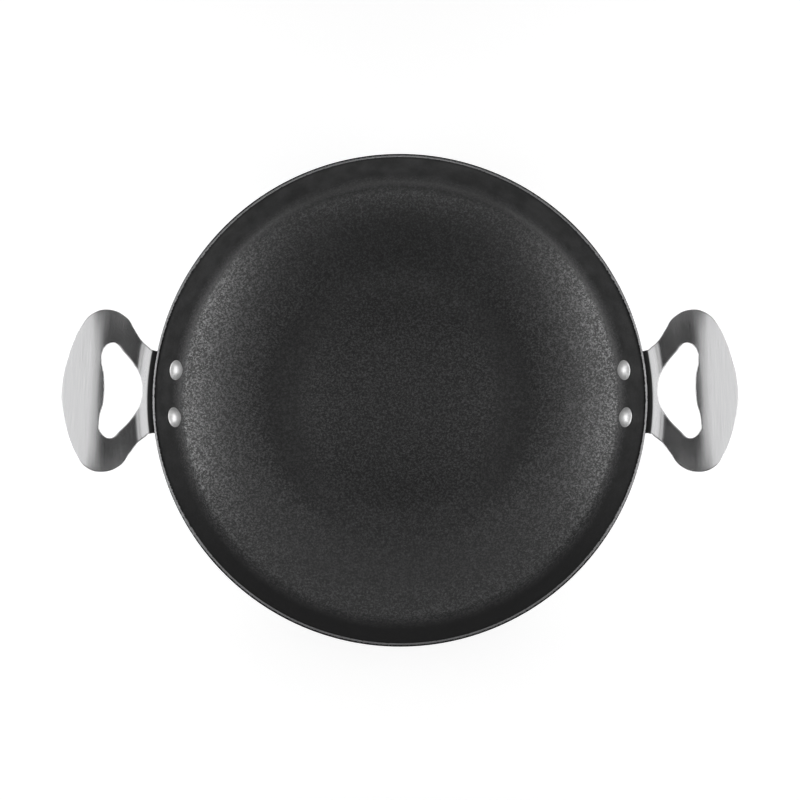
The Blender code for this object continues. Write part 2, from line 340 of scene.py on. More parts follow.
def sheet_path():
    """Middle of the sheet in side view, as (distance along it, radius, height, heading)."""
    start = SEAT + OUT_OF_BAND * (WALL_THICKNESS + GAP + SHEET / 2) - UP_BAND * PLATE_BELOW_RIVET
    path = [(0, start[0], start[1], math.pi / 2 - BAND_LEAN)]

    def straight(length):
        count = math.ceil(length / FLAT_STEP)
        for _ in range(count):
            along, radius, height, now = path[-1]
            step = length / count
            out, up = step * math.cos(now), step * math.sin(now)
            path.append((along + step, radius + out, height + up, now))

    straight(PLATE_BELOW_RIVET + PLATE_ABOVE_RIVET)
    for turn_to, round_radius, length in BENDS:
        along, radius, height, now = path[-1]
        bend = arc((radius, height), now, turn_to, round_radius, 2 * FINE)
        for step, (r, z, h) in enumerate(bend, 1):
            path.append((along + abs(turn_to - now) * round_radius * step / len(bend), r, z, h))
        straight(length)
    return path


PATH = sheet_path()
print(f"{len(PATH)} stations over {1000 * PATH[-1][0]:.1f} mm of sheet")

# %% [markdown]
# ## From the flat sheet to the bent one
#
# Two rules carry the flat sheet onto the bent one. Along the sheet, a point goes where the
# side view says, and the sheet's thickness follows its heading. Across the sheet, the part
# near the pan also curves round the rim, and that curve fades out towards the grip. The
# helper flat_point runs the rules backwards, so that outlines seen from above can be cut in
# the flat.

# %% Bending rules
CURVED_FROM = 6 * MM
STRAIGHT_FROM = 30 * MM
SETTLE_ROUNDS = 40


def between(column, value):
    """Station of the side view where a column reaches value, read off between two stations."""
    for low, high in zip(PATH, PATH[1:]):
        if value <= high[column] or high is PATH[-1]:
            share = (value - low[column]) / (high[column] - low[column])
            return tuple(a + (b - a) * share for a, b in zip(low, high))


def roundness(radius):
    """How far the sheet follows the round rim: 1 beside the rim, 0 out on the grip."""
    share = (radius - RIM_RADIUS - CURVED_FROM) / (STRAIGHT_FROM - CURVED_FROM)
    share = min(1, max(0, share))
    return 1 - share * share * (3 - 2 * share)


def flat_point(out, half_width):
    """Where a point seen from above lies in the flat sheet."""
    out, width = RIM_RADIUS + out * MM, half_width * MM
    radius = out
    for _ in range(SETTLE_ROUNDS):
        radius = out + roundness(radius) * (radius - math.sqrt(radius**2 - width**2))
    return between(1, radius)[0], width


def bent(point):
    """A point of the flat sheet carried onto the bent one."""
    along, width, lift = point
    _, radius, height, heading = between(0, along)
    radius -= lift * math.sin(heading)
    height += lift * math.cos(heading)
    follow = roundness(radius)
    return Vector((radius + follow * (math.sqrt(radius**2 - width**2) - radius), width, height))


grip_end = bent(Vector((PATH[-1][0], 0, 0)))
print("grip ends at", [round(1000 * c, 1) for c in grip_end], "mm")

# %% [markdown]
# ## The flat blank
#
# A stamped outline is easiest as a 2D curve: its inside is filled, holes are just more loops,
# and a small bevel rounds the stamped edges. The outline of the mount plate is given in the
# flat, and the arms, the grip and the finger window as they look from above.

# %% Draw the blank
SHEET_EDGE_ROUND = 0.6 * MM
PLATE_HALF_OUTLINE = [(0, 0), (0, 9), (0.6, 17), (3.2, 22.8), (8.5, 25.4), (15, 25.6)]
ARM_HALF_OUTLINE = [
    (2.6, 25.8), (5.0, 27.7), (8.6, 30.8), (12.6, 37.4), (17.6, 45.3),
    (25.4, 48.8), (34.1, 45.5), (39.9, 37.3), (43.5, 29.3), (46.9, 17), (48.5, 8), (48.9, 0),
]
WINDOW_HALF_OUTLINE = [
    (7.9, 0), (8.5, 5.8), (11.1, 12.7), (18.4, 24.2), (22.9, 28.6),
    (27.3, 25.2), (28.3, 17.5), (26.8, 8.2), (26.4, 0),
]


def add_loop(curve, half):
    """A closed, smooth loop from its upper half, mirrored across the sheet's middle line."""
    points = half + [(a, -w) for a, w in reversed(half) if w > 1e-9]
    spline = curve.splines.new("BEZIER")
    spline.use_cyclic_u = True
    spline.bezier_points.add(len(points) - 1)
    for target, (along, width) in zip(spline.bezier_points, points):
        target.co = (along, width, 0)
        target.handle_left_type = "AUTO"
        target.handle_right_type = "AUTO"


def draw_blank():
    """The flat blank as a mesh object, with a finger window and two rivet holes."""
    bpy.ops.object.select_all(action="DESELECT")
    hole_at = (SEAT + OUT_OF_BAND * (WALL_THICKNESS + GAP + SHEET / 2))[0] * math.sin(RIVET_ANGLE)
    bpy.ops.curve.primitive_bezier_circle_add(radius=SHANK_RADIUS + GAP)
    curve = bpy.context.object.data
    bpy.ops.object.mode_set(mode="EDIT")
    bpy.ops.curve.select_all(action="SELECT")
    bpy.ops.transform.translate(value=(PLATE_BELOW_RIVET, hole_at, 0))
    bpy.ops.curve.duplicate_move(TRANSFORM_OT_translate={"value": (0, -2 * hole_at, 0)})
    bpy.ops.object.mode_set(mode="OBJECT")
    plate = [(a * MM, w * MM) for a, w in PLATE_HALF_OUTLINE]
    add_loop(curve, plate + [flat_point(*p) for p in ARM_HALF_OUTLINE])
    add_loop(curve, [flat_point(*p) for p in WINDOW_HALF_OUTLINE])
    curve.dimensions = "2D"
    curve.fill_mode = "BOTH"
    curve.resolution_u = 10
    curve.extrude = SHEET / 2 - SHEET_EDGE_ROUND
    curve.bevel_depth = SHEET_EDGE_ROUND
    curve.bevel_resolution = 3
    curve.offset = -SHEET_EDGE_ROUND
    bpy.ops.object.convert(target="MESH")
    return bpy.context.object


blank = draw_blank()
print("blank:", [round(1000 * d, 1) for d in blank.dimensions], "mm")

# %% [markdown]
# ## Cutting the blank for bending
#
# A flat face can't bend, because it has no points inside it. Bisect cuts across the whole
# blank at every station of the side view, and then lengthwise every few millimetres, leave a
# neat grid of small faces. Before bending, the flat shape is also the best place to lay out
# UVs, because the brushing was done on the flat sheet and has to follow its bends. Faces that
# turn away from the flat are marked as stamped edge, and round the window and the arms, where
# that edge shows darker, even the ones that turn a little.

# %% Cut, unwrap and bend
WIDTH_STEP = 3.5 * MM
HALF_BLANK = 49 * MM
UV_SPAN = 0.1
EDGE_FACE_LIMIT = 0.9
DARK_EDGE_LIMIT = 0.99
ARMS_END = flat_point(20, 0)[0]
WINDOW_END = flat_point(30, 0)[0]
WINDOW_HALF_WIDTH = 30 * MM


def bend_blank(piece):
    """Cuts the blank into a grid, keeps its flat layout as UVs, and bends it."""
    begin(piece)
    bpy.ops.mesh.remove_doubles(threshold=WELD)
    bpy.ops.mesh.dissolve_limited(angle_limit=math.radians(0.5))
    half = int(HALF_BLANK / WIDTH_STEP)
    cuts = [((station[0], 0, 0), (1, 0, 0)) for station in PATH[1:-1]]
    cuts += [((0, WIDTH_STEP * k, 0), (0, 1, 0)) for k in range(-half, half + 1)]
    for place, normal in cuts:
        bpy.ops.mesh.select_all(action="SELECT")
        bpy.ops.mesh.bisect(plane_co=place, plane_no=normal, threshold=0.01 * MM)
    bpy.ops.mesh.select_all(action="SELECT")
    bpy.ops.mesh.normals_make_consistent(inside=False)
    end(piece)
    mesh = piece.data
    layout = mesh.uv_layers.new(name="flat_sheet")
    for polygon in mesh.polygons:
        place = polygon.center
        by_window = place.x < WINDOW_END and abs(place.y) < WINDOW_HALF_WIDTH
        limit = DARK_EDGE_LIMIT if by_window or place.x < ARMS_END else EDGE_FACE_LIMIT
        polygon.material_index = 0 if abs(polygon.normal.z) > limit else 1
        for loop in polygon.loop_indices:
            flat = mesh.vertices[mesh.loops[loop].vertex_index].co
            layout.data[loop].uv = (flat.x / UV_SPAN, 0.5 + flat.y / UV_SPAN)
    for vertex in mesh.vertices:
        vertex.co = bent(vertex.co)
    mesh.update()


bend_blank(blank)
blank.name = "loop_right"
blank.data.name = "loop_right"

# %% [markdown]
# ## Even reflections on the bends
#
# Brushed steel shows every unevenness in its shading. The Weighted Normal modifier makes the
# large faces decide the normals, so the flats stay flat right up to the rounded edge and only
# the bends and edges turn. The second handle is a copy, turned half a turn about Z in its mesh.

# %% Finish both handles
weigh = blank.modifiers.new("Even normals", "WEIGHTED_NORMAL")
weigh.mode = "FACE_AREA_WITH_ANGLE"
weigh.keep_sharp = False
bpy.ops.object.select_all(action="DESELECT")
blank.select_set(True)
bpy.context.view_layer.objects.active = blank
bpy.ops.object.modifier_apply(modifier=weigh.name)
handles = [blank]
other = blank.copy()
other.data = blank.data.copy()
other.name = "loop_left"
bpy.context.collection.objects.link(other)
other.data.transform(Matrix.Rotation(math.pi, 4, "Z"))
handles.append(other)
for handle in handles:
    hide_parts(handle.name.replace("loop", "handle"))
    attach(handle, "root")
print("handles:", ", ".join(f"{h.name} {len(h.data.polygons)} faces" for h in handles))

# %% [markdown]
# ## Building a finish from nodes
#
# Every finish starts from the Principled shader, and most of it is patterns that vary the
# shader's colour, roughness and bump. Short helpers keep the node work readable. The first
# ones start a finish, add a node, feed the shader and add bump. The next ones work on values:
# they carry one range onto another, mix two colours, or join numbers by a sum or product.

# %% Helpers that start a finish and work on values
NOISE_MOST = (0.3, 0.7)
NOISE_MIDDLE = (0.35, 0.65)
MIX_SHARE, MIX_FIRST, MIX_SECOND, MIX_COLOUR = 0, 6, 7, 2


def new_finish(name, colour, metallic, roughness):
    """A material with its Principled shader set, as (material, shader, Object coordinates)."""
    finish = bpy.data.materials.new(name)
    finish.use_nodes = True
    shader = finish.node_tree.nodes["Principled BSDF"]
    shader.inputs["Base Color"].default_value = (*colour, 1)
    shader.inputs["Metallic"].default_value = metallic
    shader.inputs["Roughness"].default_value = roughness
    where = finish.node_tree.nodes.new("ShaderNodeTexCoord")
    return finish, shader, where.outputs["Object"]


def add_node(finish, kind, inputs, **settings):
    """A new node with these settings, and each input linked to an output or set to a value."""
    node = finish.node_tree.nodes.new(kind)
    for setting, choice in settings.items():
        setattr(node, setting, choice)
    for socket, value in inputs.items():
        if isinstance(value, bpy.types.NodeSocket):
            finish.node_tree.links.new(value, node.inputs[socket])
        else:
            node.inputs[socket].default_value = value
    return node


def feed(finish, shader, socket, value):
    """Links a value to one of the shader's inputs."""
    finish.node_tree.links.new(value, shader.inputs[socket])


def bump(finish, shader, height, depth, strength=1.0):
    """Bump of about depth metres from a height between 0 and 1."""
    inputs = {"Height": height, "Distance": depth, "Strength": strength}
    feed(finish, shader, "Normal", add_node(finish, "ShaderNodeBump", inputs).outputs["Normal"])


def remap(finish, value, low, high, to_low=0, to_high=1):
    """A value carried from one range to another, and held inside it."""
    ends = {"From Min": low, "From Max": high, "To Min": to_low, "To Max": to_high}
    return add_node(finish, "ShaderNodeMapRange", {"Value": value, **ends}).outputs["Result"]


def blend(finish, share, first, second):
    """A colour that goes from first to second as share goes from 0 to 1."""
    first, second = [(*c, 1) if isinstance(c, tuple) else c for c in (first, second)]
    inputs = {MIX_SHARE: share, MIX_FIRST: first, MIX_SECOND: second}
    return add_node(finish, "ShaderNodeMix", inputs, data_type="RGBA").outputs[MIX_COLOUR]


def combine(finish, operation, first, second):
    """A Math node on two values, either of which may be a plain number."""
    inputs = {0: first, 1: second}
    return add_node(finish, "ShaderNodeMath", inputs, operation=operation).outputs["Value"]


def times(finish, first, *others):
    """The product of values. Of shares from 0 to 1, it says where all of them hold."""
    for other in others:
        first = combine(finish, "MULTIPLY", first, other)
    return first


print("helpers for values ready")

# %% [markdown]
# ## Patterns and places
#
# The second set of helpers reads coordinates. Noise gives soft, cloudy grain and can be
# stretched into streaks. A Voronoi texture cuts space into small cells, each with a random
# number of its own, and gives flecks and round spots. The last three say where a point is:
# along an axis, out from the pan's axis, or away from the middle on either side.

# %% Helpers for patterns and places
SPOT_EDGE = 0.12


def noise(finish, where, size, detail=2.0, stretch=(1, 1, 1)):
    """Noise whose grain is about size metres, stretched along an axis where wanted."""
    scale = [1 / (size * s) for s in stretch]
    mapping = add_node(finish, "ShaderNodeMapping", {"Vector": where, "Scale": scale})
    inputs = {"Vector": mapping.outputs["Vector"], "Scale": 1.0, "Detail": detail}
    return add_node(finish, "ShaderNodeTexNoise", inputs).outputs["Fac"]


def cells(finish, where, pitch):
    """Cells pitch metres apart, as (a random number for each, the distance from its middle)."""
    texture = add_node(finish, "ShaderNodeTexVoronoi", {"Vector": where, "Scale": 1 / pitch})
    pick = add_node(finish, "ShaderNodeSeparateColor", {"Color": texture.outputs["Color"]})
    return pick.outputs["Red"], texture.outputs["Distance"]


def spots(finish, where, pitch, share, size):
    """Round spots with soft edges, in this share of the cells, up to size times pitch in radius."""
    chance, distance = cells(finish, where, pitch)
    radius = remap(finish, chance, 1 - share, 1, 0, size)
    return remap(finish, combine(finish, "SUBTRACT", radius, distance), 0, SPOT_EDGE)


def axes(finish, where):
    """The X, Y and Z outputs of the coordinates."""
    return tuple(add_node(finish, "ShaderNodeSeparateXYZ", {"Vector": where}).outputs)


def reach(finish, where):
    """The distance out from the pan's axis, out of the coordinates."""
    inputs = {0: where, 1: (1, 1, 0)}
    flat = add_node(finish, "ShaderNodeVectorMath", inputs, operation="MULTIPLY")
    inputs = {0: flat.outputs["Vector"]}
    return add_node(finish, "ShaderNodeVectorMath", inputs, operation="LENGTH").outputs["Value"]


def away(finish, place, near, far, at_near=0, at_far=1):
    """A value that changes from near to far from the middle, alike on both sides of it."""
    squared = combine(finish, "POWER", place, 2)
    return remap(finish, squared, near**2, far**2, at_near, at_far)


print("helpers for patterns ready")

# %% [markdown]
# ## The speckled coating
#
# The inside carries a dark stone-look non-stick coating: a matt, nearly black coat with light
# mineral flecks and a fine pebbled surface. The flecks are metallic, so they wake up where the
# light strikes the slope, as on the real pan. On the steep band the coat is smoother and a
# shade paler, and most of the flecks are gone. First come the colours, and the heights between
# which one look passes into the next.

# %% Colours and heights of the coating
DARK_COAT = (0.012, 0.012, 0.0123)
GREY_COAT = (0.020, 0.020, 0.0204)
BAND_COAT = (0.026, 0.026, 0.0264)
PALE_BAND = (0.045, 0.045, 0.0455)
# Painted light: the paler coat along the knuckle.
KNUCKLE_LIGHT_COAT = (0.110, 0.110, 0.111)
FLECK = (0.142, 0.142, 0.144)
# Painted light: the flecks are brighter on the upper slope, towards the knuckle.
LIT_FLECK = (0.235, 0.235, 0.237)
LIT_UPPER_SLOPE = (KNUCKLE_HEIGHT - 18 * MM, KNUCKLE_HEIGHT - 1 * MM)
SLOPE_TO_BAND = (KNUCKLE_HEIGHT + 1 * MM, KNUCKLE_HEIGHT + 9 * MM)
# Painted shade: the heights where the band turns dark just under the rim.
BAND_TO_RIM_SHADE = (PAN_HEIGHT - 2.4 * MM, PAN_HEIGHT - 1.2 * MM)
print("slope passes into band from", [round(1000 * h) for h in SLOPE_TO_BAND], "mm up")

# %% [markdown]
# ## Painted light and shade on the coating
#
# The coat carries painted light along the knuckle, most beside the handles and not at the front.
# It carries painted shade as fewer flecks round the floor's edge, towards the handles, and at the
# knuckle at the back. Each such place is a product of shares, one for each way in which it is
# bounded: by height, by distance out, or by side.

# %% Painted light and shade on the coating
# Painted light along the knuckle: where it starts, how it fades up the band, and how much is left
# in the middle.
KNUCKLE_LIGHT_FROM = (KNUCKLE_HEIGHT - 2 * MM, KNUCKLE_HEIGHT + 1 * MM)
KNUCKLE_LIGHT_FADE = 1.6
KNUCKLE_LIGHT_AT_MIDDLE = 0.3
FAR_FROM = (KNUCKLE_HEIGHT - 5 * MM, KNUCKLE_HEIGHT - 2 * MM)
FAR_TO = (KNUCKLE_HEIGHT + 1 * MM, KNUCKLE_HEIGHT + 8 * MM)
# Painted shade: fewer flecks in a ring round the floor's edge towards the handles, and over the far
# knuckle.
RING_FROM = (60 * MM, 72 * MM)
RING_TO = (88 * MM, 97 * MM)
FLECKS_IN_RING_SHADE = 0.4
FLECKS_IN_FAR_SHADE = 0.3


def painted_knuckle_light(finish, across, back, height):
    """Where painted light lies on the coat: over the knuckle, most beside the handles, not in
    front.
    """
    from_below = remap(finish, height, *KNUCKLE_LIGHT_FROM)
    to_above = combine(finish, "POWER", remap(finish, height, *SLOPE_TO_BAND, 1, 0), KNUCKLE_LIGHT_FADE)
    beside_handles = away(finish, across, 60 * MM, 120 * MM, KNUCKLE_LIGHT_AT_MIDDLE, 1)
    not_in_front = remap(finish, back, -90 * MM, 10 * MM)
    return times(finish, from_below, to_above, beside_handles, not_in_front)


def far_knuckle(finish, back, height):
    """1 over the knuckle at the back of the pan, and 0 elsewhere."""
    from_below = remap(finish, height, *FAR_FROM)
    to_above = remap(finish, height, *FAR_TO, 1, 0)
    return times(finish, from_below, to_above, remap(finish, back, 90 * MM, 130 * MM))


def flecks_in_shade(finish, where, across, far):
    """The share of the flecks kept: fewer, as painted shade, round the floor's edge and at the far
    knuckle.
    """
    out = reach(finish, where)
    ring = times(finish, remap(finish, out, *RING_FROM), remap(finish, out, *RING_TO, 1, 0))
    ring = times(finish, ring, away(finish, across, 30 * MM, 70 * MM))
    ring_shade_kept = remap(finish, ring, 0, 1, 1, FLECKS_IN_RING_SHADE)
    return times(finish, ring_shade_kept, remap(finish, far, 0, 1, 1, FLECKS_IN_FAR_SHADE))


print("places of painted light and shade ready")

# %% [markdown]
# ## The flecks
#
# The flecks are a random number for each small cell, mixed with softer noise so that they
# gather loosely, and a few round specks lie among them. Towards the front and the back, as painted
# shade where the flecks catch no light, the flecks go almost halfway to a plain tone.

# %% Flecks
FLECK_PITCH = 0.75 * MM
CELL_SHARE = 0.4
CLUMP_SHARE = 0.6
FLECK_RANGE = (0.42, 0.80)
UNLIT_EVEN_SHARE = 0.45
UNLIT_EVEN_TONE = 0.23
BAND_FLECKS = 0.1


def fleck_share(finish, where, clumps, back, on_band):
    """How much of each point is fleck, from 0 to 1."""
    chance, _ = cells(finish, where, FLECK_PITCH)
    mixed = [times(finish, chance, CELL_SHARE), times(finish, clumps, CLUMP_SHARE)]
    grain = remap(finish, combine(finish, "ADD", *mixed), *FLECK_RANGE)
    specks = spots(finish, where, pitch=1.4 * MM, share=0.3, size=0.28)
    light = combine(finish, "MAXIMUM", grain, specks)
    # Painted shade: towards front and back the flecks are evened out, as where they catch no light.
    even = away(finish, back, 50 * MM, 110 * MM, 0, UNLIT_EVEN_SHARE)
    uneven = remap(finish, even, 0, 1, 1, 0)
    light = combine(finish, "ADD", times(finish, light, uneven), times(finish, even, UNLIT_EVEN_TONE))
    return times(finish, light, remap(finish, on_band, 0, 1, 1, BAND_FLECKS))


print("flecks", round(1000 * FLECK_PITCH, 2), "mm apart")

# %% [markdown]
# ## The inside, put together
#
# The coat's colour is laid first, from slope to band, with painted shade towards the front of
# the band and in a thin line just under the rim, and painted light along the knuckle. The flecks
# go over it, brighter and more metallic than the coat, brighter still as painted light on the upper
# slope, and a pebbled bump that is weaker on the band.

# %% Inside coating
PEBBLE_DEPTH = 0.08 * MM
PEBBLES_ON_BAND = 0.3
FAR_ROUGHER = 0.3


def coat_colour(finish, across, back, height, on_band, clumps, mottle):
    """The coat's colour under the flecks, with painted shade and painted light laid on it."""
    slope = blend(finish, remap(finish, clumps, *NOISE_MIDDLE), DARK_COAT, GREY_COAT)
    band = blend(finish, remap(finish, mottle, *NOISE_MIDDLE), BAND_COAT, PALE_BAND)
    # Painted shade: the band goes darker towards the front of the pan.
    band = blend(finish, remap(finish, back, -100 * MM, 0), GREY_COAT, band)
    coat = blend(finish, on_band, slope, band)
    # Painted light: the coat is painted paler along the knuckle.
    coat = blend(finish, painted_knuckle_light(finish, across, back, height), coat, KNUCKLE_LIGHT_COAT)
    # Painted shade: a thin dark line at the top of the band, just under the rim.
    return blend(finish, remap(finish, height, *BAND_TO_RIM_SHADE), coat, DARK_COAT)


def coating_inside():
    finish, shader, where = new_finish("speckled_coating", DARK_COAT, 0.0, 0.4)
    across, back, height = axes(finish, where)
    on_band = remap(finish, height, *SLOPE_TO_BAND)
    far = far_knuckle(finish, back, height)
    clumps = noise(finish, where, 1.65 * MM, 2)
    mottle = noise(finish, where, 9 * MM, 3)
    cloud = noise(finish, where, 28 * MM, 2)
    flecks = fleck_share(finish, where, clumps, back, on_band)
    # Painted shade: fewer flecks round the floor's edge and at the far knuckle.
    flecks = times(finish, flecks, flecks_in_shade(finish, where, across, far))
    coat = coat_colour(finish, across, back, height, on_band, clumps, mottle)
    # Painted light: flecks brighter on the upper slope.
    fleck = blend(finish, remap(finish, height, *LIT_UPPER_SLOPE), FLECK, LIT_FLECK)
    feed(finish, shader, "Base Color", blend(finish, flecks, coat, fleck))
    feed(finish, shader, "Metallic", flecks)
    rough = remap(finish, cloud, *NOISE_MOST, 0.37, 0.42)
    rough = combine(finish, "ADD", rough, times(finish, far, FAR_ROUGHER))
    feed(finish, shader, "Roughness", rough)
    smoother = remap(finish, on_band, 0, 1, 1, PEBBLES_ON_BAND)
    pebbles = times(finish, noise(finish, where, 0.7 * MM, 2), smoother)
    bump(finish, shader, pebbles, PEBBLE_DEPTH, 0.6)
    return finish


inside_finish = coating_inside()
print(inside_finish.name, len(inside_finish.node_tree.nodes), "nodes")

# %% [markdown]
# ## The coated outside
#
# The outside is taken as coated too, in the same dark colour but smooth, with the soft
# orange-peel of a sprayed coat and a few fine rubs low down, where the pan meets the hob.

# %% Outside coating
OUTER_COAT = (0.024, 0.024, 0.025)
OUTER_RUB = (0.075, 0.075, 0.075)
RUBS_UP_TO = (2 * MM, 14 * MM)
RUB_LINES = (6, 6, 0.5)


def coating_outside():
    finish, shader, where = new_finish("smooth_coating", OUTER_COAT, 0.0, 0.42)
    peel = noise(finish, where, 2.2 * MM, 1)
    cloud = noise(finish, where, 22 * MM, 3)
    rubs = noise(finish, where, 1.2 * MM, 3, RUB_LINES)
    low = remap(finish, axes(finish, where)[2], *RUBS_UP_TO, 1, 0)
    rubbed = times(finish, low, remap(finish, rubs, 0.56, 0.72, 0, 0.5))
    feed(finish, shader, "Base Color", blend(finish, rubbed, OUTER_COAT, OUTER_RUB))
    feed(finish, shader, "Roughness", remap(finish, cloud, *NOISE_MOST, 0.38, 0.48))
    bump(finish, shader, peel, 0.05 * MM, 0.5)
    return finish


outside_finish = coating_outside()
print(outside_finish.name, len(outside_finish.node_tree.nodes), "nodes")

# %% [markdown]
# ## The rim
#
# A coated pan has a thin line of bare aluminium along its rim, where the coat is trimmed or
# worn through. It is mottled, not clean: the coat still holds on here and there. The bare
# metal is let through by its distance out from the axis, and noise breaks up its borders.
# Beside the handles the line lies a little further out than at the front and back.

# %% Worn rim
BARE_RIM = (0.30, 0.30, 0.305)
BARE_FROM = (RIM_RADIUS - 1.9 * MM, RIM_RADIUS - 1.7 * MM)
BARE_TO = (RIM_RADIUS - 0.8 * MM, RIM_RADIUS - 0.6 * MM)
BARE_METAL = 0.9
RAGGED_BY = 0.35 * MM
LINE_IN_BY = 0.3 * MM
LINE_OUT_BY = 0.45 * MM


def worn_rim():
    finish, shader, where = new_finish("worn_rim", DARK_COAT, 0.0, 0.5)
    grain = noise(finish, where, 1.0 * MM, 3)
    across = axes(finish, where)[0]
    shift = away(finish, across, 110 * MM, 147 * MM, LINE_IN_BY, -LINE_OUT_BY)
    ragged = remap(finish, grain, *NOISE_MOST, -RAGGED_BY, RAGGED_BY)
    out = combine(finish, "ADD", reach(finish, where), ragged)
    out = combine(finish, "ADD", out, shift)
    bare = times(finish, remap(finish, out, *BARE_FROM), remap(finish, out, *BARE_TO, 1, 0))
    feed(finish, shader, "Base Color", blend(finish, bare, DARK_COAT, BARE_RIM))
    feed(finish, shader, "Metallic", times(finish, bare, BARE_METAL))
    feed(finish, shader, "Roughness", remap(finish, grain, *NOISE_MOST, 0.45, 0.6))
    shader.inputs["Specular IOR Level"].default_value = 0.0
    bump(finish, shader, grain, 0.08 * MM, 0.5)
    return finish


rim_finish = worn_rim()
print(rim_finish.name, len(rim_finish.node_tree.nodes), "nodes")

# %% [markdown]
# ## The turned base
#
# The disc that rests on the hob is taken as bare aluminium, turned on a lathe, because a coat
# there would only wear off. It has shallow rings about 3.5 mm apart. A Wave texture in rings
# about Z gives them, in colour, roughness and bump together. Its wave turns through 20 radians
# for each unit at scale 1, and a full ring is one whole turn.

# %% Turned base
RING_PITCH = math.tau * 0.55 * MM
WAVE_RADIANS = 20
DARK_TURNING = (0.50, 0.50, 0.51)
LIGHT_TURNING = (0.66, 0.66, 0.67)
TURNING_RANGE = (0.4, 1.1)


def turned_base():
    finish, shader, where = new_finish("turned_aluminium", (0.6, 0.6, 0.61), 1.0, 0.35)
    scale = math.tau / (WAVE_RADIANS * RING_PITCH)
    inputs = {"Vector": where, "Scale": scale, "Distortion": 0.3}
    settings = {"wave_type": "RINGS", "rings_direction": "Z"}
    rings = add_node(finish, "ShaderNodeTexWave", inputs, **settings)
    marks = noise(finish, where, 9 * MM, 4)
    tone = combine(finish, "ADD", times(finish, rings.outputs["Fac"], 0.5), marks)
    colour = blend(finish, remap(finish, tone, *TURNING_RANGE), DARK_TURNING, LIGHT_TURNING)
    feed(finish, shader, "Base Color", colour)
    feed(finish, shader, "Roughness", remap(finish, tone, *TURNING_RANGE, 0.30, 0.44))
    bump(finish, shader, rings.outputs["Fac"], 0.04 * MM, 0.6)
    return finish


base_finish = turned_base()
print(base_finish.name, "with rings", round(1000 * RING_PITCH, 2), "mm apart")

# %% [markdown]
# ## Giving the bowl its four finishes
#
# Each face of the bowl takes one finish by its place: the top edge is rim, the flat face on
# the table is turned base, faces that look out or down are outside, and the rest is inside.

# %% Finishes on the bowl
INSIDE, OUTSIDE, RIM, BASE = range(4)
ON_TABLE = 0.05 * MM
FACES_DOWN = -0.05
FACES_OUT = 0.5


def face_finish(polygon):
    """Which of the four finishes a face of the bowl takes."""
    centre, normal = polygon.center, polygon.normal
    if centre.z > PAN_HEIGHT - EDGE_ROUND:
        return RIM
    if centre.z < ON_TABLE:
        return BASE
    outwards = normal.x * centre.x + normal.y * centre.y
    looks_out = normal.z < FACES_DOWN or outwards > FACES_OUT * centre.length
    return OUTSIDE if looks_out else INSIDE


bowl.data.materials.clear()
for finish in (inside_finish, outside_finish, rim_finish, base_finish):
    bowl.data.materials.append(finish)
for polygon in bowl.data.polygons:
    polygon.material_index = face_finish(polygon)
counts = [sum(p.material_index == k for p in bowl.data.polygons) for k in range(4)]
print("faces inside, outside, rim, base:", counts)

# %% [markdown]
# ## Brushed steel
#
# The handles are brushed stainless steel, with fine lines that run across the handle and so
# round the pan. Brushing does three things: it draws streaks in tone, varies the roughness
# from line to line, and stretches highlights at right angles to the lines. The streaks are
# noise squeezed hard along the sheet and drawn out across it, on the flat layout's UVs. The
# stretched highlights come from the shader's Anisotropic value and a tangent from the same UVs.
# Between the mount plate and the crease the sheet is painted dark and made rougher: painted shade
# for the shaded gap beside the rim.

# %% Brushed steel
CREASE = next(station[0] for station in PATH if abs(station[3]) < 1e-6)
AT_CREASE = ((CREASE - 1.0 * MM) / UV_SPAN, (CREASE - 0.6 * MM) / UV_SPAN)
PLATE_TOP = (11 * MM / UV_SPAN, 15 * MM / UV_SPAN)
STEEL = (0.52, 0.52, 0.525)
DARK_STREAK = (0.49, 0.49, 0.495)
LIGHT_STREAK = (0.55, 0.55, 0.555)
# Painted shade: the dark colour of the strip between the mount plate and the crease.
SHADE_STRIP_STEEL = (0.02, 0.02, 0.02)
FINE_SHARE = 0.75
SHADE_STRIP_ROUGHER = 0.5


